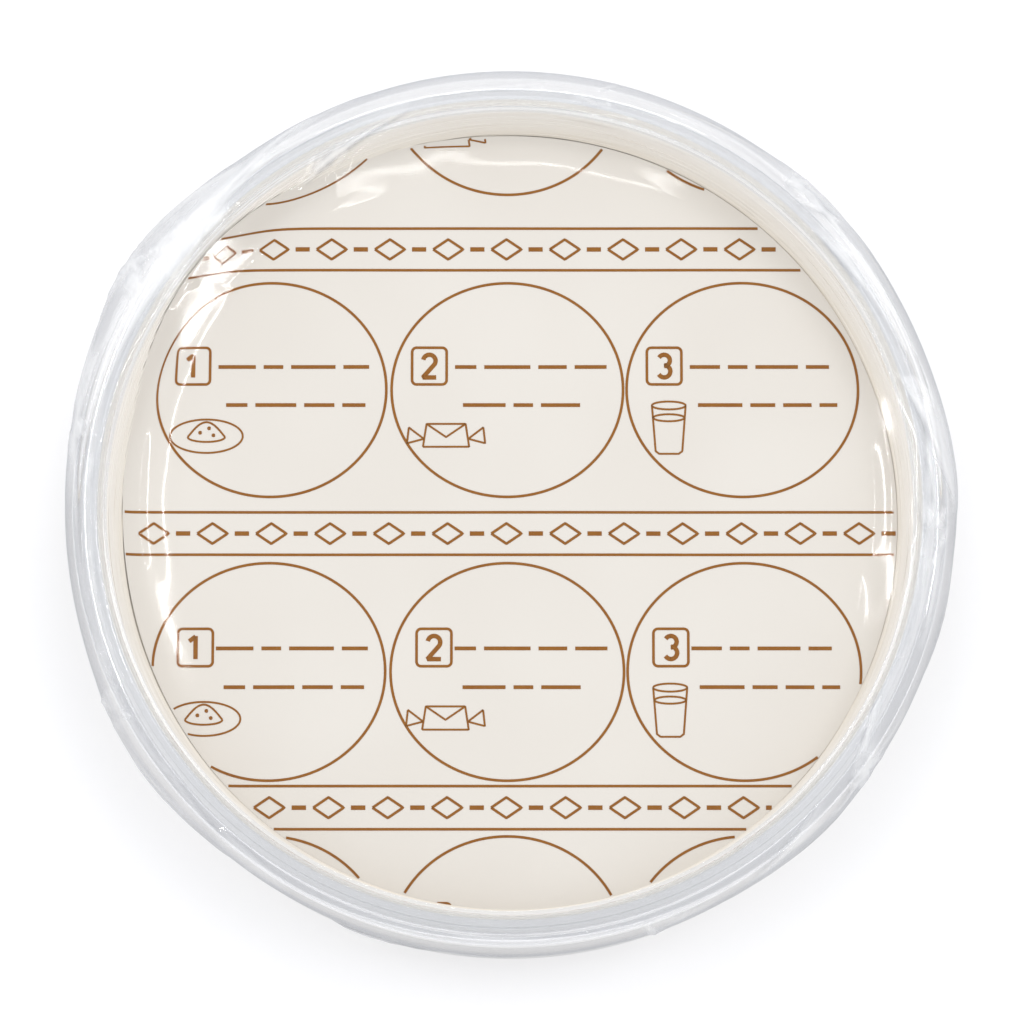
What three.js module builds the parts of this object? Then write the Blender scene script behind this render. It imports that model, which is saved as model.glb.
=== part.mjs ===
// A sealed round pack of edible wafer papers, lying on its back with its printed face up.
// From the inside out: the stack of wafers, whose edge turns up along the tray's wall like a
// brim, a printed cover sheet that lies on the stack and climbs the brim on one side, a clear
// tray, a clear lid whose skirt reaches half way down the tray, and a thin shrink film round
// the whole pack, with a small vent hole in the middle underneath.
// Millimetres and degrees, +Z up. The origin is the middle of the pack's underside.

import * as THREE from 'three';

// Driving dimensions
const gap = 0.35;                  // between neighbouring pieces
const filmThickness = 0.3;
const filmRadius = 49.3;           // outside, where the film stands off the lid's skirt
const filmShoulder = 1.6;          // how roundly it turns over the rim
const filmDip = 0.3;               // how far it dips from the rim to its middle
const ventRadius = 1.5;

const lidRadius = 48.4;
const lidWall = 1.2;
const skirtBottom = 9.0;
const rimWidth = 3.4;              // the raised rim round the lid's window
const rimHeight = 0.5;             // above the window
const windowThickness = 0.9;

const trayTopRadius = 46.6;
const trayBottomRadius = 45.1;
const trayWall = 1.1;
const trayFloor = 1.1;
const trayCorner = 2.2;

const stackHeight = 7.7;           // up to the level where the sheet lies
const stackLedges = 7;             // bundles of wafers that show as steps at the edge
const ledgeShift = 0.3;
const ledgeStep = 0.1;
const brimFootRadius = 43.6;       // inside the turned-up edge, level with the sheet
const brimTopRadius = 44.75;
const brimHeight = 6.1;            // of the turned-up edge above the sheet, on average
const brimUnevenness = 0.35;

const sheetThickness = 0.3;
const sheetRadius = 43.2;
const sheetClimb = 5.0;            // how far the sheet climbs the brim at climbAngle
const climbAngle = 142;
const climbSpread = 24;
const climbWidth = 2.6;            // the outer part of the sheet that bends up
const faceDepth = 7.5;             // from the lid's window down to the printed face

// Where the film stands away from the rim: direction, height and half width
const bulges = [
  { angle: 147, height: 1.1, spread: 16 },
  { angle: 213, height: 0.6, spread: 12 },
  { angle: 314, height: 0.3, spread: 10 },
  { angle: 3, height: 0.3, spread: 9 },
  { angle: 36, height: 0.2, spread: 7 },
];

// Levels, worked out upwards from the floor
const trayBottom = filmThickness + gap;
const stackBottom = trayBottom + trayFloor + gap;
const sheetBottom = stackBottom + stackHeight + gap;
const faceLevel = sheetBottom + sheetThickness;
const windowLevel = faceLevel + faceDepth;
const rimLevel = windowLevel + rimHeight;
const filmLevel = rimLevel + gap + filmThickness;
const rimUnderside = rimLevel - windowThickness;
const trayTop = rimUnderside - gap;
const brimSlope = (brimTopRadius - brimFootRadius) / brimHeight;

const radians = THREE.MathUtils.degToRad;

function point(radius, z) {
  return new THREE.Vector2(radius, z);
}

// Points on a quarter or other arc about (radius, z), from one direction to another
function arc(radius, z, size, from, to, steps) {
  const points = [];
  for (let i = 0; i <= steps; i += 1) {
    const turn = radians(from + ((to - from) * i) / steps);
    points.push(point(radius + size * Math.cos(turn), z + size * Math.sin(turn)));
  }
  return points;
}

// Turns a profile about +Z. It runs from the axis, round the outside and back to the axis.
function turned(profile, segments) {
  const geometry = new THREE.LatheGeometry(profile, segments);
  geometry.rotateX(Math.PI / 2);
  return geometry;
}

// Moves each vertex: change(radius, angle, z) gives its new radius and z
function reshaped(geometry, change) {
  const places = geometry.getAttribute('position');
  for (let i = 0; i < places.count; i += 1) {
    const x = places.getX(i);
    const y = places.getY(i);
    const radius = Math.hypot(x, y);
    const angle = Math.atan2(y, x);
    const [newRadius, newZ] = change(radius, angle, places.getZ(i));
    places.setXYZ(i, newRadius * Math.cos(angle), newRadius * Math.sin(angle), newZ);
  }
  geometry.computeVertexNormals();
  return geometry;
}

// Every piece is paper, wafer or clear plastic, so none is metallic
function finish(color, opacity, roughness) {
  const transparent = opacity < 1;
  return new THREE.MeshStandardMaterial({ color, opacity, roughness, metalness: 0, transparent });
}

function named(name, geometry, material) {
  const mesh = new THREE.Mesh(geometry, material);
  mesh.name = name;
  return mesh;
}

// How far apart two directions are, in degrees and without a sign
function apart(angle, direction) {
  const turn = THREE.MathUtils.radToDeg(angle) - direction;
  return Math.abs(THREE.MathUtils.euclideanModulo(turn + 180, 360) - 180);
}

// A soft bump that is 1 in its own direction and dies out over spread degrees
function bump(angle, direction, spread) {
  return Math.exp(-((apart(angle, direction) / spread) ** 2));
}

// Inside of the tray's wall at a level
function trayInside(z) {
  const foot = trayBottom + trayCorner;
  const share = (z - foot) / (trayTop - foot);
  return THREE.MathUtils.lerp(trayBottomRadius, trayTopRadius, share) - trayWall;
}

// The wafers lie in loose bundles, so the stack's edge is stepped and slightly wavy. Above
// the sheet only their turned-up edges go on, thinner towards the top.
function waferStack() {
  const stackTop = stackBottom + stackHeight;
  const brimTop = faceLevel + brimHeight;
  const profile = [point(0, stackBottom)];
  for (let i = 0; i < stackLedges; i += 1) {
    const low = stackBottom + (stackHeight * i) / stackLedges;
    const high = stackBottom + (stackHeight * (i + 1)) / stackLedges;
    const inset = gap + ledgeStep + ledgeShift * (0.5 + 0.5 * Math.sin(2.4 * i));
    profile.push(point(trayInside(low) - inset, low));
    profile.push(point(trayInside(high) - inset - ledgeStep, high));
  }
  profile.push(
    point(trayInside(brimTop) - gap - ledgeStep, brimTop),
    point(brimTopRadius, brimTop),
    point(brimFootRadius, stackTop),
    point(0, stackTop),
  );
  const rippled = reshaped(turned(profile, 60), (radius, angle, z) => {
    const ripple = 0.05 * Math.sin(5 * angle + z) + 0.05 * Math.sin(8 * angle - 2 * z);
    const wave = 0.6 * Math.sin(3 * angle + 0.7) + 0.4 * Math.sin(7 * angle + 2);
    const lift = z > stackTop + gap ? brimUnevenness * wave : 0;
    return [radius > 1 ? radius + ripple : radius, z + lift];
  });
  return named('wafer_stack', rippled, finish('#f2ead8', 1, 0.8));
}

// The sheet is a disc laid a little off centre, so on one side its edge climbs the brim
function coverSheet() {
  const bendStart = sheetRadius - climbWidth;
  const reaches = [0, bendStart, bendStart + 0.4 * climbWidth, bendStart + 0.75 * climbWidth, sheetRadius];
  const under = reaches.map((radius) => point(radius, sheetBottom));
  const over = reaches.map((radius) => point(radius, faceLevel)).reverse();
  const climbing = reshaped(turned([...under, ...over], 72), (radius, angle, z) => {
    const bent = Math.max(0, (radius - bendStart) / climbWidth);
    const lift = sheetClimb * bent ** 2 * bump(angle, climbAngle, climbSpread);
    return [radius + brimSlope * lift, z + lift];
  });
  return named('cover_sheet', climbing, finish('#ebe8e2', 1, 0.6));
}

function clearTray() {
  const innerCorner = 0.5;
  const floorTop = trayBottom + trayFloor;
  const innerBottomRadius = trayBottomRadius - trayWall;
  const profile = [
    point(0, trayBottom),
    ...arc(trayBottomRadius - trayCorner, trayBottom + trayCorner, trayCorner, 270, 360, 4),
    point(trayTopRadius, trayTop),
    point(trayTopRadius - trayWall, trayTop),
    ...arc(innerBottomRadius - innerCorner, floorTop + innerCorner, innerCorner, 360, 270, 2),
    point(0, floorTop),
  ];
  return named('clear_tray', turned(profile, 60), finish('#eef2f3', 0.35, 0.08));
}

// The window sits a little lower than the rim, and its edge fits inside the tray's wall
function clearLid() {
  const windowBottom = windowLevel - windowThickness;
  const windowRadius = lidRadius - rimWidth;
  const plugRadius = trayTopRadius - trayWall - gap;
  const skirtInner = lidRadius - lidWall;
  const edge = 0.25;
  const rimCorner = 0.9;
  const profile = [
    point(0, windowBottom),
    point(plugRadius - rimHeight, windowBottom),
    point(plugRadius, rimUnderside),
    point(skirtInner, rimUnderside),
    point(skirtInner, skirtBottom),
    point(lidRadius - edge, skirtBottom),
    point(lidRadius, skirtBottom + edge),
    ...arc(lidRadius - rimCorner, rimLevel - rimCorner, rimCorner, 0, 90, 4),
    point(windowRadius + rimCorner, rimLevel),
    ...arc(windowRadius + rimCorner, rimLevel - rimHeight, rimHeight, 90, 180, 3),
    point(0, windowLevel),
  ];
  return named('clear_lid', turned(profile, 60), finish('#eef2f3', 0.35, 0.08));
}

// One line of the film, from the vent underneath, up the side and in to the middle of the
// top. depth 0 is its outside and filmThickness its inside.
function filmLine(depth) {
  const footCentre = trayBottomRadius - trayCorner;
  const footSize = trayCorner + gap + filmThickness - depth;
  const shoulderCentre = filmRadius - filmShoulder;
  const shoulderSize = filmShoulder - depth;
  const top = filmLevel - depth;
  return [
    point(ventRadius, depth),
    ...arc(footCentre, trayBottom + trayCorner, footSize, 270, 350, 3),
    point(filmRadius - depth, skirtBottom),
    ...arc(shoulderCentre, filmLevel - filmShoulder, shoulderSize, 0, 90, 3),
    point(lidRadius - rimWidth, top),
    point(lidRadius - 3 * rimWidth, top - 0.7 * filmDip),
    point(0, top - filmDip),
  ];
}

// The film stands off the rim in soft bulges, which die out towards the foot and the top
function shrinkFilm() {
  const profile = [...filmLine(filmThickness).reverse(), ...filmLine(0)];
  const still = filmRadius - 2.5 * filmShoulder;
  const loose = filmRadius - 0.75 * filmShoulder;
  const bulged = reshaped(turned(profile, 72), (radius, angle, z) => {
    let away = 0;
    for (const bulge of bulges) {
      away += bulge.height * bump(angle, bulge.angle, bulge.spread);
    }
    return [radius + away * THREE.MathUtils.smoothstep(radius, still, loose), z];
  });
  return named('shrink_film', bulged, finish('#f4f7f8', 0.2, 0.12));
}

const pack = new THREE.Group();
pack.add(waferStack(), coverSheet(), clearTray(), clearLid(), shrinkFilm());

// The bulges are uneven, so the whole is shifted to stand over the middle of its outline
const outline = new THREE.Box3().setFromObject(pack);
const middle = outline.getCenter(new THREE.Vector3());
pack.position.set(-middle.x, -middle.y, -outline.min.z);
pack.updateMatrixWorld(true);

export default pack;
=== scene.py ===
"""A sealed round pack of edible wafer papers, lying face up on a pale table.

From the inside out: the stack of wafers, whose edges turn up along the tray's wall like a
brim, the printed cover sheet, the clear tray, the clear lid and the shrink film round it all.
Shapes are worked out in millimetres about the case's axis, and become metres in new_piece.
"""

import math

import bpy
import numpy as np
from mathutils import Matrix, Vector


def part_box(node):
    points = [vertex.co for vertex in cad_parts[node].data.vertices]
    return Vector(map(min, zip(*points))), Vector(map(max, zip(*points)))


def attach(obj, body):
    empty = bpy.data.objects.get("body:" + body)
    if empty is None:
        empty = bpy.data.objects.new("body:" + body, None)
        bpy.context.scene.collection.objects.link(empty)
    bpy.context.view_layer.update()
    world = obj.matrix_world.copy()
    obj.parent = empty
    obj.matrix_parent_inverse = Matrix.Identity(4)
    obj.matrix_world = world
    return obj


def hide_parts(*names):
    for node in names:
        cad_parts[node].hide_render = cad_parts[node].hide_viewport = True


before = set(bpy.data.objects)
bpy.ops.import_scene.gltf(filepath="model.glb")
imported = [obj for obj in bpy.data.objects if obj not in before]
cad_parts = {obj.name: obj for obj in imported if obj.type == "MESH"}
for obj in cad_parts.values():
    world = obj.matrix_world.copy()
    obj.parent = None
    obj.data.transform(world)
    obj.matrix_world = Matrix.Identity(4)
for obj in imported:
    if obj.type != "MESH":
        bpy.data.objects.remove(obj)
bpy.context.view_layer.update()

MM = 0.001
BODY = "root"


# ---------------------------------------------------------------- sizes, in millimetres

def corners(node):
    """Lowest and highest corner of a CAD node, in millimetres."""
    low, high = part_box(node)
    return np.array(low) / MM, np.array(high) / MM


lid_low, lid_high = corners("clear_lid")
tray_low, tray_high = corners("clear_tray")
stack_low = corners("wafer_stack")[0]
film_high = corners("shrink_film")[1]

axis_x, axis_y = (lid_low[:2] + lid_high[:2]) / 2

# Clear case
lid_radius = (lid_high[0] - lid_low[0]) / 2
rim_level = lid_high[2]
skirt_bottom = lid_low[2]
lid_wall = 1.2
rim_width = 3.4
rim_height = 0.5
window_thickness = 0.9
window_radius = lid_radius - rim_width
window_level = rim_level - rim_height
tray_top_radius = (tray_high[0] - tray_low[0]) / 2
tray_bottom_radius = tray_top_radius - 1.5
tray_top = tray_high[2]
tray_bottom = tray_low[2]
tray_wall = 1.1
tray_floor = 1.1
tray_corner = 2.2

# Printed sheet, laid a little off centre, so that one side climbs the wafers' brim
face_depth = 7.5
face_level = window_level - face_depth
paper_thickness = 0.12
sheet_shift = 0.45         # how far the whole face lies towards the near side
sheet_stretch = 0.45       # how much longer than wide the face is, on each side
sheet_tuck = 0.04          # how far its edge is pressed into the brim's foot
crease_inset = 0.2         # from the brim's foot in to where the sheet turns up
crease_softness = 0.2
climb_softness = 0.8       # how much softer it bends where it climbs
sheet_climb = 5.6
climb_angle = 141
climb_spread = 28
climb_inset = 1.0          # how much nearer the middle the brim starts there
coarse_wave = 0.05         # height of the flat sheet's two faint waves
fine_wave = 0.03

# Wafers
stack_bottom = stack_low[2]
stack_top = face_level - 2 * paper_thickness
brim_top = face_level + 6.1
brim_foot_radius = 43.45
brim_top_radius = 44.95
brim_dip = 0.7             # how much lower it is where the sheet climbs it
brim_steps = 15
ledges = 52                # bundles of papers that show as steps on the outside
crevice_depth = 1.0        # of the narrow gap at the brim's foot, on the far side only
crevice_angle = 92
crevice_spread = 32
core_radius = 20.0         # inside this the flat top and underside are plain fans

# Shrink film
film_radius = 49.25
film_level = rim_level + 0.2
film_shoulder = 1.7
film_foot_radius = 42.9
film_foot_size = 2.85
film_swell = 0.42          # of its pillow over the window
film_slack = 0.3           # how far a fold may stand over the top of the film's solid


# ---------------------------------------------------------------- meshes

def new_piece(name, points, faces, materials, choice=None, sharp=40):
    """Makes a mesh object from points in millimetres about the case's axis.

    choice gives each face's material, and edges sharper than sharp degrees stay sharp.
    """
    places = (np.asarray(points, float) + (axis_x, axis_y, 0)) * MM
    mesh = bpy.data.meshes.new(name)
    mesh.from_pydata(places.tolist(), [], faces)
    for material in materials:
        mesh.materials.append(material)
    if choice is not None:
        mesh.polygons.foreach_set("material_index", np.asarray(choice, np.int32))
    mesh.shade_smooth()
    mesh.set_sharp_from_angle(angle=math.radians(sharp))
    piece = bpy.data.objects.new(name, mesh)
    bpy.context.scene.collection.objects.link(piece)
    return piece


def ring_faces(rows, columns):
    """Quads between the rows of a grid whose columns go round and meet, faces outwards
    where the rows go up the outside."""
    row = np.arange(rows - 1)[:, None] * columns
    column = np.arange(columns)[None, :]
    after = (column + 1) % columns
    quads = [row + column, row + after, row + columns + after, row + columns + column]
    return np.stack(quads, -1).reshape(-1, 4)


def capped_turning(radius, angle, height):
    """Points and faces of a closed turned shape.

    radius and height are grids, one row for each point of the profile and one column for
    each angle. The profile runs from the middle of the underside, round the outside, to the
    middle of the top, and a fan of triangles closes it at each end.
    """
    rows, columns = radius.shape
    grid = np.stack([radius * np.cos(angle), radius * np.sin(angle), height], -1)
    low_pole = [0, 0, height[0].mean()]
    high_pole = [0, 0, height[-1].mean()]
    points = np.vstack([grid.reshape(-1, 3), low_pole, high_pole])
    column = np.arange(columns)
    after = (column + 1) % columns
    low = np.full(columns, rows * columns)
    top_row = (rows - 1) * columns
    under = np.stack([low, after, column], -1)
    over = np.stack([low + 1, top_row + column, top_row + after], -1)
    faces = ring_faces(rows, columns).tolist() + under.tolist() + over.tolist()
    return points, faces


def around(count):
    """count directions evenly round the axis, in radians."""
    return np.linspace(0, 2 * np.pi, count, endpoint=False)


def arc(radius, height, size, start, stop, count):
    """Points at size times (cos, sin) of a turn from start to stop degrees, round a centre."""
    turn = np.radians(np.linspace(start, stop, count))
    return np.column_stack([radius + size * np.cos(turn), height + size * np.sin(turn)])


def apart(angle, direction):
    """Angle in radians from a direction in degrees, as signed degrees."""
    return (np.degrees(angle) - direction + 180) % 360 - 180


def bump(distance, spread):
    """Soft bump, 1 in its middle: e to the minus (distance over spread) squared."""
    return np.exp(-(distance / spread) ** 2)


def smooth_step(value, low, high):
    """0 at low, 1 at high, and 3t2 - 2t3 between them."""
    share = np.clip((value - low) / (high - low), 0, 1)
    return share * share * (3 - 2 * share)


def wander(angle, random, waves, size):
    """A wavy line round the axis: cosines with whole numbers of waves, smaller when finer."""
    total = np.zeros_like(angle)
    for wave in waves:
        total += np.cos(wave * angle + random.uniform(0, 2 * np.pi)) / math.sqrt(wave)
    return size * total / math.sqrt(len(waves))


# ---------------------------------------------------------------- materials

def linear(code):
    """Linear colour of an sRGB hex code."""
    part = np.array([int(code[i:i + 2], 16) for i in (1, 3, 5)]) / 255
    value = np.where(part <= 0.04045, part / 12.92, ((part + 0.055) / 1.055) ** 2.4)
    return (*value.tolist(), 1.0)


def add(tree, kind, inputs=None, **settings):
    """Adds a node with its settings. Each input gets a value, or a link from an output."""
    node = tree.nodes.new(kind)
    for name, value in settings.items():
        setattr(node, name, value)
    for name, value in (inputs or {}).items():
        if isinstance(value, bpy.types.NodeSocket):
            tree.links.new(value, node.inputs[name])
        else:
            node.inputs[name].default_value = value
    return node


def new_material(name):
    """An empty node material and its node tree."""
    material = bpy.data.materials.new(name)
    material.use_nodes = True
    material.node_tree.nodes.clear()
    return material, material.node_tree


def show(tree, shader):
    """Links a shader to the material's surface."""
    add(tree, "ShaderNodeOutputMaterial", {"Surface": shader})


def starch_wafer():
    """Edible starch wafer, cast thin and dried: matt and a little translucent.

    Its colour is cream, with painted shade that turns it tan lower down the brim towards the
    crevice, and fine streaks where the papers lie on each other, drawn about 0.4 mm apart
    because the true 0.08 mm is too fine.
    """
    material, tree = new_material("starch_wafer_cast")
    place = add(tree, "ShaderNodeTexCoord").outputs["Object"]
    height = add(tree, "ShaderNodeSeparateXYZ", {0: place}).outputs["Z"]
    # Painted shade: darker tan lower down the brim and towards the crevice, lighter up top
    shade_by_height = add(tree, "ShaderNodeMapRange", {
        "Value": height,
        "From Min": stack_top * MM,
        "From Max": brim_top * MM,
    })
    streak_place = add(tree, "ShaderNodeMapping", {"Vector": place, "Scale": (90, 90, 2500)})
    streak = add(tree, "ShaderNodeTexNoise", {
        "Vector": streak_place.outputs[0],
        "Scale": 1.0,
        "Detail": 2.0,
    })
    shift = add(tree, "ShaderNodeMath", {
        0: streak.outputs["Fac"],
        1: 0.5,
        2: shade_by_height.outputs[0],
    }, operation="MULTIPLY_ADD")
    level = add(tree, "ShaderNodeMath", {0: shift.outputs[0], 1: 0.25}, operation="SUBTRACT")
    tone = add(tree, "ShaderNodeValToRGB", {"Fac": level.outputs[0]})
    ramp = tone.color_ramp
    ramp.elements[0].position = 0.0
    ramp.elements[0].color = linear("#e3dcd0")
    ramp.elements[1].position = 1.0
    ramp.elements[1].color = linear("#ebe8e4")
    middle = ramp.elements.new(0.3)
    middle.color = linear("#e6e1d9")
    shader = add(tree, "ShaderNodeBsdfPrincipled", {
        "Base Color": tone.outputs["Color"],
        "Roughness": 0.75,
        "Specular IOR Level": 0.0,
    })
    show(tree, shader.outputs[0])
    return material


def printed_paper():
    """Thin uncoated paper, calendered smooth: warm grey white with faint cloudy fibre."""
    material, tree = new_material("paper_calendered")
    place = add(tree, "ShaderNodeTexCoord").outputs["Object"]
    cloud = add(tree, "ShaderNodeTexNoise", {"Vector": place, "Scale": 70.0, "Detail": 1.0})
    tone = add(tree, "ShaderNodeMix", {
        "Factor": cloud.outputs["Fac"],
        "A": linear("#d4cfc8"),
        "B": linear("#dad6d0"),
    }, data_type="RGBA")
    shader = add(tree, "ShaderNodeBsdfPrincipled", {
        "Base Color": tone.outputs["Result"],
        "Roughness": 0.7,
        "Specular IOR Level": 0.0,
    })
    show(tree, shader.outputs[0])
    return material


def brown_ink():
    """Flexo ink on paper, a brown that is a little uneven in its cover."""
    material, tree = new_material("ink_flexo_brown")
    place = add(tree, "ShaderNodeTexCoord").outputs["Object"]
    cover = add(tree, "ShaderNodeTexNoise", {"Vector": place, "Scale": 900.0, "Detail": 0.0})
    tone = add(tree, "ShaderNodeMix", {
        "Factor": cover.outputs["Fac"],
        "A": linear("#834e0b"),
        "B": linear("#8d5a14"),
    }, data_type="RGBA")
    shader = add(tree, "ShaderNodeBsdfPrincipled", {
        "Base Color": tone.outputs["Result"],
        "Roughness": 0.7,
        "Specular IOR Level": 0.0,
    })
    show(tree, shader.outputs[0])
    return material


def moulded_case(name, tint):
    """Clear polystyrene, injection moulded and glossy, whose tint grows with its depth.

    Its gloss has the plastic's own index. What is seen through it is bent only a little, and
    a little of it is haze, so that the rim stays as light and airy as the thin real one.
    """
    material, tree = new_material(name)
    shader = add(tree, "ShaderNodeBsdfPrincipled", {
        "Base Color": linear(tint),
        "Roughness": 0.02,
        "IOR": 1.12,
        "Transmission Weight": 0.93,
        "Coat Weight": 1.0,
        "Coat Roughness": 0.03,
        "Coat IOR": 1.59,
    })
    show(tree, shader.outputs[0])
    return material


def sheet_gloss(tree, head_on, roughness, slant_tint):
    """Mixes gloss over clear by Schlick's rule: head_on + (1 - head_on) (1 - cos)^5.

    Seen at a slant the way through is longer, so the clear part turns to slant_tint, by
    (1 - cos)^2.
    """
    edge = add(tree, "ShaderNodeLayerWeight", {"Blend": 0.5})
    slant = add(tree, "ShaderNodeMath", {
        0: edge.outputs["Facing"],
        1: 2.0,
    }, operation="POWER")
    tint = add(tree, "ShaderNodeMix", {
        "Factor": slant.outputs[0],
        "A": linear("#ffffff"),
        "B": linear(slant_tint),
    }, data_type="RGBA")
    power = add(tree, "ShaderNodeMath", {0: edge.outputs["Facing"], 1: 5.0}, operation="POWER")
    share = add(tree, "ShaderNodeMath", {
        0: power.outputs[0],
        1: 1 - head_on,
        2: head_on,
    }, operation="MULTIPLY_ADD")
    clear = add(tree, "ShaderNodeBsdfTransparent", {"Color": tint.outputs["Result"]})
    gloss = add(tree, "ShaderNodeBsdfAnisotropic", {"Roughness": roughness})
    return add(tree, "ShaderNodeMixShader", {
        0: share.outputs[0],
        1: clear.outputs[0],
        2: gloss.outputs[0],
    })


def case_window():
    """The flat middle of the lid, clear polystyrene too thin to bend what is seen through.

    The film lies close over it, and the film's gloss stands for that of both.
    """
    material, tree = new_material("polystyrene_window")
    show(tree, add(tree, "ShaderNodeBsdfTransparent").outputs[0])
    return material


def clear_film():
    """Polyolefin shrink film, blown and shrunk on with heat: very glossy and finely puckered.

    Creases are white on their crests, partly milky stressed film and partly a painted highlight,
    and carry painted shade, a grey, on their steep sides. Two point attributes say how much.
    """
    material, tree = new_material("polyolefin_shrink_film")
    skin = sheet_gloss(tree, 0.04, 0.05, "#bfc2c9")
    # Painted shade: a grey mixed in on the creases' steep sides, by the shade attribute
    shade = add(tree, "ShaderNodeAttribute", attribute_name="shade")
    grey = add(tree, "ShaderNodeBsdfTransparent", {"Color": linear("#8d919b")})
    folded = add(tree, "ShaderNodeMixShader", {
        0: shade.outputs["Fac"],
        1: skin.outputs[0],
        2: grey.outputs[0],
    })
    # White on the crests: partly milky stressed film, partly a painted highlight
    milk_and_highlight = add(tree, "ShaderNodeAttribute", attribute_name="milk_and_highlight")
    white = add(tree, "ShaderNodeBsdfDiffuse", {"Color": linear("#f4f5f7")})
    creased = add(tree, "ShaderNodeMixShader", {
        0: milk_and_highlight.outputs["Fac"],
        1: folded.outputs[0],
        2: white.outputs[0],
    })
    show(tree, creased.outputs[0])
    return material


# ---------------------------------------------------------------- wafers

def tray_inside(height):
    """Inside radius of the tray's wall at a height: straight from its foot to its top."""
    foot = tray_bottom + tray_corner
    share = (height - foot) / (tray_top - foot)
    return tray_bottom_radius + (tray_top_radius - tray_bottom_radius) * share - tray_wall


def make_wafers():
    """The stack as one turned body.

    Outside: ledges, each a bundle of papers with a rounded edge, shifted its own way and
    waved. Top of the brim: an uneven wispy lip. Inside of the brim: low steps down to a
    narrow crevice, then the flat top that the sheet lies on.
    """
    random = np.random.default_rng(11)
    columns = 300
    angle = around(columns)[None, :]
    climb = climbing(angle)
    pitch = (brim_top - stack_bottom) / ledges
    radii = [np.full((1, columns), core_radius)]
    heights = [np.full((1, columns), stack_bottom)]
    for ledge in range(ledges):
        low = stack_bottom + pitch * ledge
        inset = 0.32 + 0.16 * random.random()
        way = random.uniform(0, 2 * np.pi)
        wave = wander(angle, random, (3, 5, 8, 13, 21), 0.05)
        edge = tray_inside(low) - inset + 0.1 * np.cos(angle - way) + wave
        for share, cut in ((0.02, 0.1), (0.3, 0.0), (0.8, 0.0)):
            radii.append(edge - cut)
            level = low + pitch * share
            dip = smooth_step(level, face_level, brim_top) * brim_dip
            heights.append(level - dip * climb)
    lip = wander(angle, random, (3, 7, 11, 17, 26, 39), 0.35)
    lip = lip - brim_dip * climb
    lip_width = tray_inside(brim_top) - 0.35 - brim_top_radius
    for share, rise in ((0.85, 0.05), (0.5, 0.16), (0.15, 0.05)):
        radii.append(brim_top_radius + lip_width * share + 0 * angle)
        heights.append(brim_top + rise + lip)
    fall = (brim_top - stack_top) / brim_steps
    foot = brim_foot(angle)
    calm = 1 - 0.85 * climb
    for step in range(brim_steps):
        high = brim_top - fall * step
        fade = 1 - step / brim_steps
        edge = foot + (brim_top_radius - foot) * fade
        wave = wander(angle, random, (2, 5, 9, 14, 23), 0.07) * calm
        droop = wander(angle, random, (3, 6, 10, 17, 31), 0.16) * calm
        for share, cut in ((0.05, 0.0), (0.75, 0.0), (0.95, 0.07)):
            radii.append(edge - cut * calm + wave)
            heights.append(high - fall * share + lip * fade + droop * fade)
    gape = bump(apart(angle, crevice_angle), crevice_spread)
    crevice = crevice_depth * gape
    crevice_width = 0.05 + 0.25 * gape
    for radius, height in (
        (foot, stack_top - crevice),
        (foot - crevice_width, stack_top - crevice),
        (foot - crevice_width - 0.05, stack_top),
        (core_radius + 0 * angle, stack_top),
    ):
        radii.append(radius)
        heights.append(height + 0 * angle)
    radius = np.vstack(radii)
    height = np.vstack(heights)
    points, faces = capped_turning(radius, angle + 0 * radius, height)
    return new_piece("wafer_papers", points, faces, [starch_wafer()], sharp=60)


# ---------------------------------------------------------------- printed sheet

def shifted(radius, angle):
    """The radius of a circle that lies sheet_shift nearer, seen from the case's axis, and
    is sheet_stretch longer from the middle to its near and far sides."""
    return radius - sheet_shift * np.sin(angle) + sheet_stretch * np.sin(angle) ** 2


def climbing(angle, widened=1.0):
    """1 where the sheet climbs the brim, and less away from there by a soft bump."""
    return bump(apart(angle, climb_angle), widened * climb_spread)


def brim_foot(angle):
    """Inside radius of the brim's foot: nearer the middle where the sheet climbs it."""
    return shifted(brim_foot_radius, angle) - climb_inset * climbing(angle, 1.2)


def sheet_edge(angle):
    """How far the flat sheet reaches from the case's axis: further where it climbs."""
    return brim_foot(angle) + sheet_tuck + sheet_climb * climbing(angle)


def on_sheet(x, y, proud=0.0):
    """Where a point of the flat print lies on the sheet.

    The sheet is flat up to its crease. What reaches past the crease runs up the brim, as
    long as it was, and leans out along the brim's slope. The bend is the soft corner
    s ln(1 + e^(past / s)). A faint wave keeps the flat part from being perfectly flat.
    """
    radius = np.hypot(x, y)
    angle = np.arctan2(y, x)
    share = climbing(angle, 2.2)
    foot = brim_foot(angle)
    softness = crease_softness + climb_softness * share
    past = (radius - foot + crease_inset) / softness
    up = softness * np.logaddexp(0, past) * share
    rise = brim_top - stack_top - brim_dip * climbing(angle)
    slope = (brim_top_radius - foot) / rise
    lean = np.hypot(1, slope)
    out = radius - up + slope / lean * up
    coarse = coarse_wave * np.sin(x / 6.1 + 1.3) * np.cos(y / 7.3)
    wave = coarse + fine_wave * np.sin((x + y) / 3.7)
    height = face_level + up / lean + proud + wave - (coarse_wave + fine_wave)
    return np.stack([out * np.cos(angle), out * np.sin(angle), height], -1)


def make_sheet():
    """The sheet: its upper face on the print's surface and its lower face a paper's
    thickness below."""
    columns = 360
    angle = around(columns)[None, :]
    flat = brim_foot_radius - climb_inset - 2.0
    inner = np.linspace(1.5, flat, 26)[:, None] + 0 * angle
    outer = flat + (sheet_edge(angle) - flat) * np.linspace(0, 1, 22)[1:, None]
    reach = np.concatenate([inner, outer])
    x = reach * np.cos(angle)
    y = reach * np.sin(angle)
    over = on_sheet(x, y)
    under = on_sheet(x, y, -paper_thickness)
    grid = np.concatenate([under, over[::-1]])
    radius = np.hypot(grid[..., 0], grid[..., 1])
    points, faces = capped_turning(radius, np.arctan2(grid[..., 1], grid[..., 0]), grid[..., 2])
    return new_piece("printed_sheet", points, faces, [printed_paper()])


# ---------------------------------------------------------------- print

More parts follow.
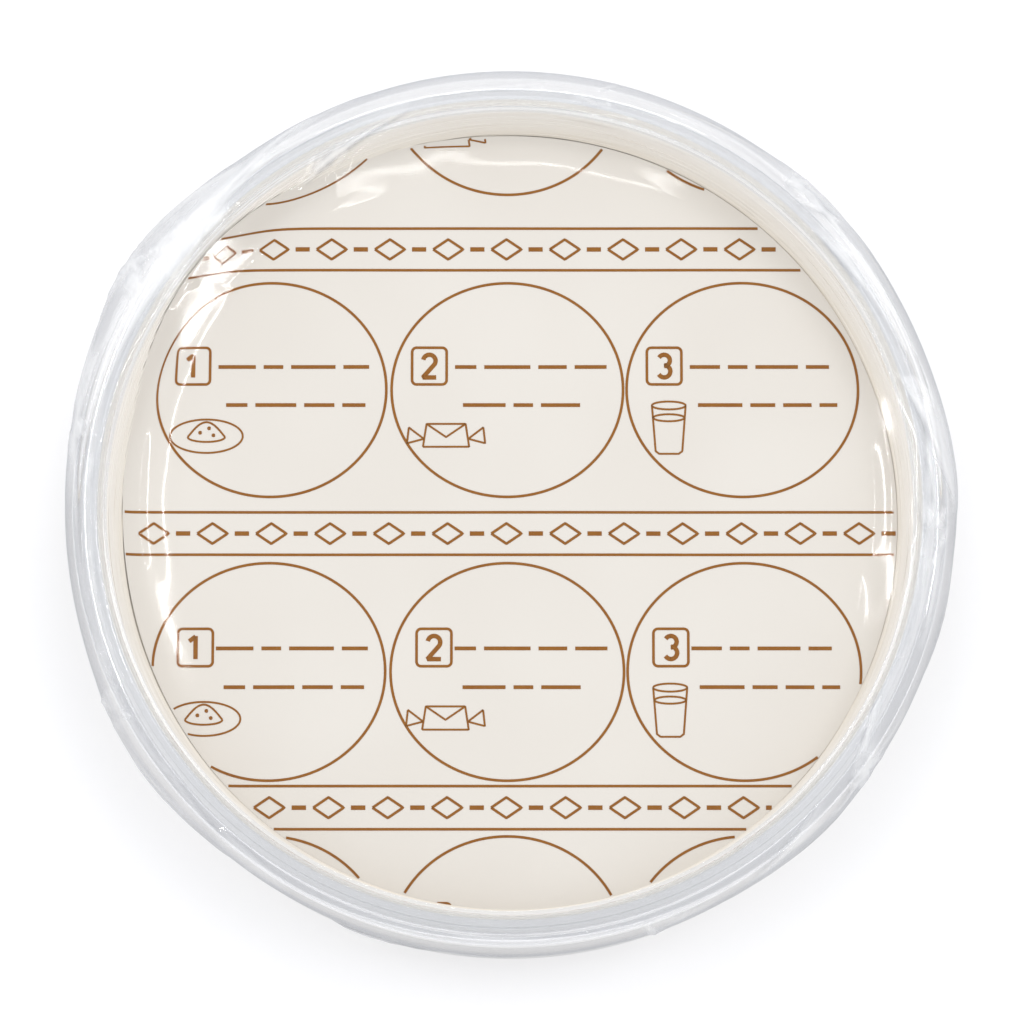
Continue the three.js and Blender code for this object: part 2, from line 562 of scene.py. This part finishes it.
ink_line = 0.3
bold_line = 0.5            # digits and the bands' dashes
bar_line = 0.42            # bars in place of the notes
fine_line = 0.22           # small drawings
ink_thickness = 0.03

# Rows and columns of the print, about the case's axis
column_places = (-27.0, -0.3, 26.2)
row_levels = (48.8, 14.2, -17.7, -48.3)
band_levels = (30.3, -2.15, -32.9)
band_half_height = 2.4
ring_half_width = 13.05
ring_half_height = 12.2


def ellipse(x, y, half_width, half_height, start=0, stop=360):
    """Points half_width cos t, half_height sin t round (x, y), about 0.3 mm apart."""
    length = math.radians(abs(stop - start)) * max(half_width, half_height)
    turn = np.radians(np.linspace(start, stop, max(int(length / 0.3), 8)))
    return np.column_stack([x + half_width * np.cos(turn), y + half_height * np.sin(turn)])


def stroke(*places):
    """A line through places, cut to points about 0.3 mm apart."""
    places = np.array(places, float)
    step = np.hypot(*np.diff(places, axis=0).T)
    reach = np.concatenate([[0], np.cumsum(step)])
    stations = np.linspace(0, reach[-1], max(int(reach[-1] / 0.3), 1) + 1)
    stations = np.unique(np.concatenate([stations, reach]))
    return np.column_stack([np.interp(stations, reach, places[:, i]) for i in (0, 1)])


def rounded_box(x, y, half_width, half_height, corner):
    """Outline of a box whose corners are quarter circles."""
    sides = []
    for turn, across, along in ((0, 1, 1), (90, -1, 1), (180, -1, -1), (270, 1, -1)):
        centre_x = x + across * (half_width - corner)
        centre_y = y + along * (half_height - corner)
        sides.append(arc(centre_x, centre_y, corner, turn, turn + 90, 6))
    sides.append(sides[0][:1])
    return stroke(*np.vstack(sides))


def digit_strokes(number, x, y, size):
    """Strokes of a plain 1, 2 or 3 about (x, y), size high."""
    half = size / 2
    if number == 1:
        flag = stroke((x - 0.27 * size, y + 0.27 * size), (x + 0.02, y + half - 0.05))
        return [flag, stroke((x + 0.02, y + half), (x + 0.02, y - half))]
    bowl = size * 0.27
    if number == 2:
        top = arc(x, y + half - bowl, bowl, 170, -35, 14)
        foot = (x - bowl * 1.05, y - half)
        return [stroke(*top, foot, (x + bowl * 1.1, y - half))]
    top = arc(x, y + half - bowl * 0.93, bowl * 0.93, 150, -90, 14)
    low = arc(x, y - half + bowl, bowl, 90, -150, 14)
    return [stroke(*top), stroke(*low)]


def wafer_drawing(x, y):
    """A round wafer seen at a slant, with a small heap of powder on it."""
    plate = ellipse(x, y - 0.4, 4.1, 1.9)
    share = np.linspace(-1, 1, 25)
    heap = np.column_stack([x + 2.1 * share, y - 0.5 + 1.7 * np.cos(share * math.pi / 2)])
    foot = ellipse(x, y - 0.5, 2.1, 0.55, 180, 360)
    grains = [ellipse(x + across, y + along, 0.12, 0.12)
              for across, along in ((-0.7, 0.0), (0.3, 0.5), (0.8, -0.3))]
    return [plate, heap, foot, *grains]


def packet_drawing(x, y):
    """A wafer folded round its powder: an envelope with its flap and two twisted ends."""
    body = stroke((x - 2.6, y - 1.3), (x + 2.6, y - 1.3), (x + 2.2, y + 1.3),
                  (x - 2.2, y + 1.3), (x - 2.6, y - 1.3))
    flap = stroke((x - 2.2, y + 1.3), (x, y - 0.2), (x + 2.2, y + 1.3))
    left = stroke((x - 2.5, y - 0.4), (x - 4.2, y + 0.9), (x - 4.4, y - 0.9), (x - 2.5, y - 0.4))
    right = stroke((x + 2.5, y - 0.4), (x + 4.2, y + 0.9), (x + 4.4, y - 0.9), (x + 2.5, y - 0.4))
    return [body, flap, left, right]


def glass_drawing(x, y):
    """A tumbler of water: rim, sides, foot and the water's surface."""
    rim = ellipse(x, y + 2.6, 1.9, 0.45)
    level = ellipse(x, y + 1.2, 1.75, 0.4)
    sides = stroke((x - 1.9, y + 2.6), (x - 1.5, y - 2.6), (x - 1.1, y - 2.9),
                   (x + 1.1, y - 2.9), (x + 1.5, y - 2.6), (x + 1.9, y + 2.6))
    return [rim, level, sides]


def note_bars(x, y, lengths):
    """Two rows of short bars in place of the notes, from x, the second 4.35 below."""
    bars = []
    for row, row_lengths in enumerate(lengths):
        left = x + 0.9 * row
        level = y - 4.35 * row
        for length in row_lengths:
            bars.append(stroke((left, level), (left + length, level)))
            left += length + 0.9
    return bars


def band_ornament(y):
    """Lozenges and dashes along the band, from one side of the sheet to the other."""
    parts = []
    pitch = 6.6
    first_shift = -0.4
    half_width = 1.7
    half_height = 1.15
    for index in range(-6, 7):
        x = index * pitch + first_shift
        parts.append((stroke((x - half_width, y), (x, y + half_height), (x + half_width, y),
                             (x, y - half_height), (x - half_width, y)), ink_line))
        parts.append((stroke((x + 2.5, y), (x + 4.1, y)), bold_line))
    return parts


def print_strokes():
    """Every line of the print as (points, width), repeated down and across the sheet."""
    lines = []
    drawings = (wafer_drawing, packet_drawing, glass_drawing)
    drawing_shifts = ((-7.2, -4.9), (-6.9, -5.2), (-8.3, -4.4))
    bar_lengths = (((4.2, 2.2, 5.0, 2.9), (2.4, 4.6, 3.4, 2.6)),
                   ((2.4, 5.2, 3.2, 3.6), (4.8, 2.2, 4.4)),
                   ((3.4, 2.2, 4.8, 2.6), (5.0, 2.8, 3.2, 2.0)))
    for row, y in enumerate(row_levels):
        for column, x in enumerate(column_places):
            lines.append((ellipse(x, y, ring_half_width, ring_half_height), ink_line))
            box_x = x - 8.8 + 0.6 * (row > 1)
            box_y = y + 2.7
            lines.append((rounded_box(box_x, box_y, 1.95, 2.1, 0.5), ink_line))
            digit = digit_strokes(column + 1, box_x, box_y, 2.6)
            lines.extend((part, bold_line) for part in digit)
            drawing_x, drawing_y = drawing_shifts[column]
            drawing = drawings[column](x + drawing_x, y + drawing_y)
            lines.extend((part, fine_line) for part in drawing)
            bars = note_bars(x - 5.9, box_y - 0.1, bar_lengths[column])
            lines.extend((part, bar_line) for part in bars)
    for y in band_levels:
        for side in (-1, 1):
            level = y + side * band_half_height
            lines.append((stroke((-50, level), (50, level)), ink_line))
        lines.extend(band_ornament(y))
    return lines


def ribbon(points, width):
    """A flat closed strip of ink along points, with a rectangular section.

    Each station gives four corners: half the width to each side along the line's normal,
    at the foot and at the top of the ink.
    """
    ahead = np.gradient(points, axis=0)
    ahead /= np.maximum(np.hypot(ahead[:, 0], ahead[:, 1]), 1e-9)[:, None]
    side = np.column_stack([-ahead[:, 1], ahead[:, 0]]) * width / 2
    left = points + side
    right = points - side
    foot = 0.005
    top = foot + ink_thickness
    rows = [on_sheet(*right.T, foot), on_sheet(*right.T, top),
            on_sheet(*left.T, top), on_sheet(*left.T, foot)]
    return np.stack(rows, 1)


def strip_faces(start, stations):
    """Quads round a strip of four-cornered sections, and its two ends."""
    station = start + 4 * np.arange(stations - 1)[:, None]
    corner = np.arange(4)[None, :]
    after = (corner + 1) % 4
    quads = [station + corner, station + after, station + 4 + after, station + 4 + corner]
    sides = np.stack(quads, -1).reshape(-1, 4).tolist()
    last = start + 4 * (stations - 1)
    return sides + [[start + 3, start + 2, start + 1, start], [last, last + 1, last + 2, last + 3]]


def make_print():
    """All strips of ink as one piece. A line that leaves the sheet is cut at its edge."""
    points = []
    faces = []
    count = 0
    for line, width in print_strokes():
        reach = np.hypot(line[:, 0], line[:, 1])
        inside = reach < sheet_edge(np.arctan2(line[:, 1], line[:, 0])) - 0.12
        runs = np.split(np.arange(len(line)), np.flatnonzero(np.diff(inside.astype(int))) + 1)
        for run in runs:
            if not inside[run[0]] or len(run) < 2:
                continue
            strip = ribbon(line[run], width).reshape(-1, 3)
            faces.extend(strip_faces(count, len(run)))
            points.append(strip)
            count += len(strip)
    return new_piece("print_ink", np.vstack(points), faces, [brown_ink()], sharp=60)


# ---------------------------------------------------------------- clear case

def turned_piece(name, profile, materials, choice=None, columns=288):
    """A closed turned piece from one profile, the same all the way round."""
    profile = np.asarray(profile, float)
    angle = around(columns)[None, :] + np.zeros((len(profile), 1))
    radius = profile[:, :1] + 0 * angle
    height = profile[:, 1:] + 0 * angle
    points, faces = capped_turning(radius, angle, height)
    if choice is not None:
        rows = choice(profile[:-1], profile[1:])
        choice = np.concatenate([np.repeat(rows, columns), np.full(columns, rows[0]),
                                 np.full(columns, rows[-1])])
    return new_piece(name, points, faces, materials, choice, sharp=30)


def make_tray():
    """The tray: a round foot ring, a bent corner, a wall that leans out and a round rim."""
    floor_top = tray_bottom + tray_floor
    inner_radius = tray_bottom_radius - tray_wall
    inner_corner = 1.2
    rim = tray_wall / 2
    foot_ring = arc(36.0, tray_bottom + 0.25, 0.25, 180, 360, 9)
    profile = np.vstack([
        [(12.0, tray_bottom + 0.25)],
        foot_ring,
        [(39.0, tray_bottom + 0.25)],
        arc(tray_bottom_radius - tray_corner, tray_bottom + tray_corner, tray_corner, 270, 355, 12),
        arc(tray_top_radius - rim, tray_top - rim, rim, 0, 180, 13),
        arc(inner_radius - inner_corner, floor_top + inner_corner, inner_corner, 355, 270, 8),
        [(12.0, floor_top)],
    ])
    return turned_piece("tray_moulding", profile, [moulded_case("polystyrene_tray", "#e8eaee")])


def make_lid():
    """The lid: a flat window, a raised rim with rounded edges, a skirt with a small bead."""
    window_bottom = window_level - window_thickness
    rim_underside = rim_level - window_thickness
    plug_radius = tray_top_radius - tray_wall - 0.35
    skirt_inner = lid_radius - lid_wall
    outer_corner = 0.9
    inner_corner = 0.35
    bead = 0.3
    profile = np.vstack([
        [(12.0, window_bottom), (plug_radius - 1.2, window_bottom)],
        arc(plug_radius - 0.5, window_bottom + 0.5, 0.5, 270, 330, 6),
        [(plug_radius, rim_underside)],
        arc(skirt_inner - 0.4, rim_underside - 0.4, 0.4, 90, 0, 6),
        [(skirt_inner, skirt_bottom + 1.0)],
        arc(skirt_inner + bead, skirt_bottom + bead, bead, 180, 270, 5),
        arc(lid_radius - bead, skirt_bottom + bead, bead, 270, 360, 6),
        [(lid_radius, skirt_bottom + 1.0)],
        arc(lid_radius - outer_corner, rim_level - outer_corner, outer_corner, 0, 90, 12),
        [(skirt_inner - 0.3, rim_level)],
        arc(window_radius + inner_corner + 0.3, rim_level - inner_corner, inner_corner, 90, 150, 6),
        [(window_radius, window_level + 0.06), (window_radius - 0.4, window_level)],
        [(12.0, window_level)],
    ])
    window_edge = window_radius - 0.3
    skirt_edge = skirt_inner - 0.4

    def window_rows(start, stop):
        """0 on the rim, 1 on the window and 2 on the skirt, which is looked through along
        its wall, so that it seems deeper."""
        inside = np.maximum(start[:, 0], stop[:, 0]) < window_edge
        skirt = np.minimum(start[:, 0], stop[:, 0]) > skirt_edge
        return np.where(inside, 1, np.where(skirt, 2, 0))

    materials = [moulded_case("polystyrene_rim", "#eceef1"), case_window(),
                 moulded_case("polystyrene_skirt", "#dfe1e5")]
    return turned_piece("lid_moulding", profile, materials, window_rows)


# ---------------------------------------------------------------- shrink film

# Where the film stands away from the rim: direction, height and half width
film_bulges = ((147, 1.1, 16), (213, 0.6, 12), (270, 0.35, 30), (314, 0.3, 10),
               (3, 0.3, 9), (36, 0.2, 7))


def film_profile():
    """Stations down one line of the film, from its middle underneath to its middle on top.

    The line is a foot arc, a slant out to the skirt, a side, a shoulder arc, and then a
    pillow over the window, whose height is its swell times 1 - (radius / rim)^8, so that it
    is flat in the middle and rolls over just inside the rim. Stations lie closest there.
    """
    shoulder = film_radius - film_shoulder
    roll = np.linspace(shoulder, 1.0, 200)[1:]
    rise = film_swell * (1 - (roll / shoulder) ** 8)
    line = np.vstack([
        [(2.0, 0.0)],
        arc(film_foot_radius, film_foot_size, film_foot_size, 270, 350, 30),
        [(film_radius, skirt_bottom)],
        arc(shoulder, film_level - film_shoulder, film_shoulder, 0, 90, 30),
        np.column_stack([roll, film_level + rise]),
    ])
    step = np.hypot(*np.diff(line, axis=0).T)
    reach = np.concatenate([[0], np.cumsum(step)])
    corner = reach[np.argmax(line[:, 0] + line[:, 1])]
    near = np.arange(-9.0, 10.0, 0.22)
    under = np.linspace(0, corner + near[0], 26, endpoint=False)
    over = np.linspace(corner + near[-1], reach[-1], 36)[1:]
    stations = np.concatenate([under, corner + near, over])
    radius = np.interp(stations, reach, line[:, 0])
    height = np.interp(stations, reach, line[:, 1])
    return radius, height, stations - corner


def ridge(distance, steep, gentle):
    """A crest with one steep and one gentle side: e to the minus distance over each width."""
    return np.exp(-np.where(distance > 0, distance / steep, -distance / gentle))


# Creases that stand out. Each runs from one direction to another, in degrees, and from one
# travel to another, with its height and the widths of its two sides, in millimetres.
# Travel is the way along the film from the rim's shoulder, inwards.
key_pleats = (
    (19, -1, 3.6, 0.1, 0.62, 0.30, 1.40),
    (-2, -20, 1.7, 1.2, 0.45, 0.25, 0.80),
    (44, 20, 3.4, 2.0, 0.32, 0.25, 0.90),
    (62, 33, 0.6, 2.6, 0.16, 0.30, 0.90),
    (104, 123, 3.0, 6.4, 0.50, 0.22, 0.60),
    (100, 138, 2.3, 1.5, 0.30, 0.25, 0.70),
    (116, 139, -0.2, 2.9, 0.48, 0.25, 0.90),
    (128, 158, 0.6, -1.8, 0.48, 0.30, 1.20),
    (133, 171, 3.4, 2.2, 0.40, 0.30, 1.10),
    (152, 184, -0.6, 1.4, 0.34, 0.25, 0.90),
    (198, 219, 1.2, 1.7, 0.30, 0.22, 0.70),
    (203, 226, -0.9, 0.3, 0.20, 0.30, 1.00),
    (333, 321, 3.5, 1.3, 0.36, 0.25, 0.80),
    (317, 303, 2.0, 0.0, 0.34, 0.25, 0.90),
    (262, 282, 1.8, 1.1, 0.26, 0.25, 0.80),
    (284, 297, -0.8, 0.4, 0.18, 0.25, 0.80),
    (62, 118, 1.9, 1.9, 0.08, 0.20, 0.50),
    (66, 112, 0.2, 0.1, 0.08, 0.25, 0.60),
    # Long low ones that follow the rim
    (28, 82, 1.3, 0.9, 0.10, 0.20, 0.60),
    (52, 112, -0.3, -0.6, 0.09, 0.20, 0.50),
    (70, 128, 3.2, 2.9, 0.10, 0.20, 0.70),
    (150, 206, 0.9, 1.3, 0.12, 0.20, 0.60),
    (163, 222, 2.8, 2.5, 0.10, 0.20, 0.60),
    (206, 262, -0.4, 0.3, 0.11, 0.20, 0.60),
    (230, 300, 1.5, 1.2, 0.10, 0.20, 0.60),
    (246, 312, 3.4, 3.1, 0.08, 0.20, 0.60),
    (-60, -18, 0.5, 0.2, 0.11, 0.20, 0.60),
    (-44, 4, 2.4, 2.9, 0.10, 0.20, 0.60),
    # Small folds beside the big ones
    (36, 52, 1.6, 0.4, 0.30, 0.20, 0.50),
    (40, 47, 0.2, 2.2, 0.26, 0.20, 0.40),
    (8, -4, 2.6, 1.9, 0.30, 0.20, 0.60),
    (-3, -9, 0.6, 2.4, 0.28, 0.20, 0.40),
    (-17, -34, 2.6, 3.4, 0.26, 0.20, 0.60),
    (-33, -45, 1.2, -0.3, 0.28, 0.20, 0.50),
    (186, 204, 2.6, 1.6, 0.24, 0.20, 0.60),
    (217, 232, 2.0, 0.4, 0.26, 0.20, 0.50),
    (84, 96, 1.2, 2.4, 0.18, 0.20, 0.50),
    # Over the face, where the slack film stands in long low creases
    (136, 194, 10.6, 10.9, 0.07, 0.45, 0.70),
    (168, 190, 8.0, 8.2, 0.06, 0.30, 0.50),
    (10, -9, 8.7, 8.9, 0.05, 0.35, 0.60),
    (-7, 12, 6.8, 6.9, 0.02, 0.25, 0.40),
    (-11, -30, 9.6, 8.0, 0.05, 0.30, 0.50),
    (-26, -58, 7.0, 7.8, 0.07, 0.60, 0.90),
    (-30, -62, 9.0, 9.6, 0.06, 0.60, 0.90),
    (110, 142, 12.5, 9.0, 0.08, 0.80, 1.20),
    (52, 100, 10.5, 10.8, 0.04, 0.40, 0.60),
)

# Where smaller pleats gather: direction, spread and how many
pleat_zones = ((147, 14, 16), (213, 10, 5), (318, 18, 7), (2, 10, 5), (44, 12, 5),
               (80, 30, 3), (268, 30, 6))

# Where the film is crinkled: direction, travel, spread in degrees and how many
crinkle_zones = ((148, 0.3, 3.0, 26), (140, 2.6, 5.0, 16), (-2, 2.0, 1.2, 8), (48, 0.8, 1.2, 7),
                 (-37, 0.2, 2.0, 10), (-70, -0.6, 1.2, 6), (78, 2.9, 1.0, 4),
                 (208, 0.2, 1.2, 5), (171, 0.4, 1.5, 6), (119, 5.6, 3.0, 10))


# How creases show, as a white that is partly milky film and partly painted highlight, and as
# painted shade: growth for each millimetre of height, or each unit of steepness, past a start,
# up to a most
milk_highlight_growth = 1.1
milk_highlight_start = 0.06
milk_highlight_most = 0.4
shade_growth = 0.6
shade_start = 0.12
shade_most = 0.6

# The crumple of the film at the upper left, milky white all over, partly a painted highlight
crumple_angle = 143
crumple_spread = 13
crumple_travel = 2.6
crumple_width = 1.6
crumple_milk_highlight = 0.1
crumple_milk_highlight_most = 0.3


def crease(angle, travel, start, stop, inner, outer, size, steep, gentle):
    """One pleat: a crest whose travel drifts evenly from inner to outer between its two
    directions, highest in its middle third and pointed at both ends."""
    half = (stop - start) / 2
    along = apart(angle, (start + stop) / 2) / half
    fade = np.clip(1 - along ** 2, 0, None) ** 0.7
    crest = travel - (inner + outer) / 2 - (outer - inner) / 2 * np.clip(along, -1, 1)
    return size * ridge(crest, steep, gentle) * fade


def pleats(angle, travel):
    """Height of the film's pleats and crinkles, all added up."""
    random = np.random.default_rng(5)
    lift = np.zeros_like(angle + travel)
    for pleat in key_pleats:
        lift += crease(angle, travel, *pleat)
    for direction, spread, count in pleat_zones:
        for _ in range(count):
            start = direction + random.normal() * spread
            stop = start + random.choice((-1, 1)) * random.uniform(6, 22)
            inner = random.uniform(-4.5, 4.0)
            outer = inner + random.uniform(-2.2, 2.2)
            size = random.uniform(0.06, 0.28)
            lift += crease(angle, travel, start, stop, inner, outer, size,
                           random.uniform(0.18, 0.35), random.uniform(0.5, 1.3))
    for direction, middle, spread, count in crinkle_zones:
        for _ in range(count):
            start = direction + random.normal() * spread * 0.6
            stop = start + random.choice((-1, 1)) * random.uniform(0.8, 3.5)
            inner = middle + random.normal() * 0.8
            outer = inner + random.uniform(-1.8, 1.8)
            size = random.uniform(0.08, 0.26)
            lift += crease(angle, travel, start, stop, inner, outer, size,
                           random.uniform(0.2, 0.4), random.uniform(0.3, 0.7))
    return lift


def face_waves(radius, angle):
    """Faint waves of the film over the face: three sines across it, none near the rim."""
    x = radius * np.cos(angle)
    y = radius * np.sin(angle)
    waves = np.sin(x / 2.9 + y / 5.1) + np.sin(y / 2.3 - x / 6.7 + 1.0) + np.sin((x + y) / 1.7)
    return 0.004 * waves * smooth_step(radius, 46, 40)


def crease_looks(angle, travel, lift):
    """How milky and how shaded the film is at each point, near the rim alone.

    Milky white, partly a painted highlight, grows with a crease's height past a start, and is
    spread over the crumple as well. Painted shade grows with how steeply the film rises past
    its own start.
    """
    near_rim = smooth_step(travel, 12, 4)[:, None]
    along = apart(angle, crumple_angle)
    crumple = bump(along, crumple_spread) * bump(travel[:, None] - crumple_travel, crumple_width)
    milk_and_highlight = np.clip(milk_highlight_growth * (lift - milk_highlight_start), 0, milk_highlight_most) * near_rim
    milk_and_highlight = milk_and_highlight + crumple * np.clip(crumple_milk_highlight + lift, 0, crumple_milk_highlight_most)
    # Painted shade on the steep sides of the creases
    steepness = np.abs(np.gradient(lift, travel, axis=0))
    shade = np.clip(shade_growth * (steepness - shade_start), 0, shade_most) * near_rim
    return milk_and_highlight, shade


def make_film():
    """The film as one closed skin: the profile moved out by the bulges at the rim and by
    the pleats along its own normal."""
    columns = 640
    radius, height, travel = film_profile()
    angle = around(columns)[None, :]
    slope = np.column_stack([np.gradient(radius), np.gradient(height)])
    slope /= np.hypot(slope[:, 0], slope[:, 1])[:, None]
    out = slope[:, 1:]
    up = -slope[:, :1]
    away = sum(size * bump(apart(angle, way), spread) for way, size, spread in film_bulges)
    share = smooth_step(radius, film_radius - 2.5 * film_shoulder, film_radius - 0.6)[:, None]
    lift = pleats(angle, travel[:, None]) + face_waves(radius[:, None], angle)
    radius = radius[:, None] + away * share + out * lift
    height = height[:, None] + up * lift
    height = np.clip(height, 0, film_high[2] + film_slack)
    points, faces = capped_turning(radius, angle + 0 * radius, height)
    piece = new_piece("film_skin", points, faces, [clear_film()], sharp=180)
    # The white, part painted highlight, and the painted shade go on as point attributes
    milk_and_highlight, shade = crease_looks(angle, travel, lift)
    for name, share in (("milk_and_highlight", milk_and_highlight), ("shade", shade)):
        layer = piece.data.attributes.new(name, "FLOAT", "POINT")
        values = np.concatenate([share.ravel(), [0, 0]])
        layer.data.foreach_set("value", values.astype(np.float32))
    return piece


# ---------------------------------------------------------------- floor, light and camera

def make_floor():
    """A plain pale table top, a hair below the pack so that the two faces never coincide."""
    material, tree = new_material("table_matt_white")
    shader = add(tree, "ShaderNodeBsdfPrincipled", {
        "Base Color": linear("#eff0f3"),
        "Roughness": 0.8,
        "Specular IOR Level": 0.0,
    })
    show(tree, shader.outputs[0])
    bpy.ops.mesh.primitive_plane_add(size=6.0, location=(0, 0, -0.05 * MM))
    floor = bpy.context.object
    floor.name = "table_top"
    floor.data.materials.append(material)
    return floor


camera_elevation = 82.5
camera_distance = 0.454
camera_aim = (0.1, -0.77)  # millimetres from the origin, at the rim's level
picture_scale = 9.06       # pixels for each millimetre at the rim's level
picture_width = 1024


def softbox(name, place, width, height, radiance):
    """A rectangular light that faces the pack and looks equally bright from everywhere.

    Its width runs along x, as far as its facing allows.
    """
    data = bpy.data.lights.new(name, "AREA")
    data.shape = "RECTANGLE"
    data.size = width
    data.size_y = height
    data.energy = radiance * math.pi * width * height
    lamp = bpy.data.objects.new(name, data)
    bpy.context.scene.collection.objects.link(lamp)
    place = Vector(place)
    facing = (place - Vector((0, 0, rim_level * MM))).normalized()
    along = facing.cross(Vector((1, 0, 0))).normalized()
    side = along.cross(facing)
    turn = Matrix((side, along, facing)).transposed()
    lamp.matrix_world = Matrix.Translation(place) @ turn.to_4x4()
    return lamp


def light_scene():
    """Two keys from the far left and the far right, three narrow strips round the mirrored
    view, and soft ambient light."""
    key = 0.44
    softbox("key_left", (-0.50, 0.40, 0.95), key, key, 2.8)
    softbox("key_right", (0.54, 0.40, 0.95), key, key, 3.4)
    tilt = math.radians(90 - camera_elevation)
    ahead = np.array([0, math.sin(tilt), math.cos(tilt)])
    up = np.array([0, math.cos(tilt), -math.sin(tilt)])
    right = np.array([1.0, 0, 0])
    reach = 1.0
    strip = 0.007
    # Name, way from the mirrored view, how far that way, how far up, width, height, radiance
    sides = (
        ("strip_left", -right, 0.150, 0.035, strip, 0.22, 30.0),
        ("strip_right", right, 0.190, 0.0, 0.5 * strip, 0.10, 80.0),
        ("strip_far", up, 0.150, 0.0, 0.16, strip, 12.0),
    )
    for name, way, clear, lift, width, height, radiance in sides:
        place = ahead * reach + way * (clear + strip / 2) + up * lift
        softbox(name, place.tolist(), width, height, radiance)
    world = bpy.data.worlds.new("soft_room")
    bpy.context.scene.world = world
    world.use_nodes = True
    world.node_tree.nodes["Background"].inputs["Color"].default_value = linear("#ffffff")
    world.node_tree.nodes["Background"].inputs["Strength"].default_value = 1.02


def place_camera():
    """The camera stands at the photograph's distance and looks down along its axis."""
    data = bpy.data.cameras.new("camera")
    data.sensor_width = 36.0
    data.lens = picture_scale / MM * data.sensor_width * camera_distance / picture_width
    camera = bpy.data.objects.new("camera", data)
    bpy.context.scene.collection.objects.link(camera)
    tilt = math.radians(90 - camera_elevation)
    aim = np.array([*camera_aim, rim_level]) * MM
    back = np.array([0, -math.sin(tilt), math.cos(tilt)]) * camera_distance
    camera.location = (aim + back).tolist()
    camera.rotation_euler = (tilt, 0, 0)
    bpy.context.scene.camera = camera
    bpy.context.scene.view_settings.view_transform = "Standard"


# ---------------------------------------------------------------- the pack

wafers = make_wafers()
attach(wafers, BODY)
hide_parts("wafer_stack")

sheet = make_sheet()
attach(sheet, BODY)
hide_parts("cover_sheet")

ink = make_print()
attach(ink, BODY)

tray = make_tray()
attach(tray, BODY)
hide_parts("clear_tray")

lid = make_lid()
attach(lid, BODY)
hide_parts("clear_lid")

film = make_film()
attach(film, BODY)
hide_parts("shrink_film")

# Clear plastic this thin hardly shades what is under it
for clear_piece in (tray, lid, film):
    clear_piece.visible_shadow = False
    clear_piece.visible_diffuse = False
    clear_piece.visible_glossy = False

make_floor()
light_scene()
place_camera()
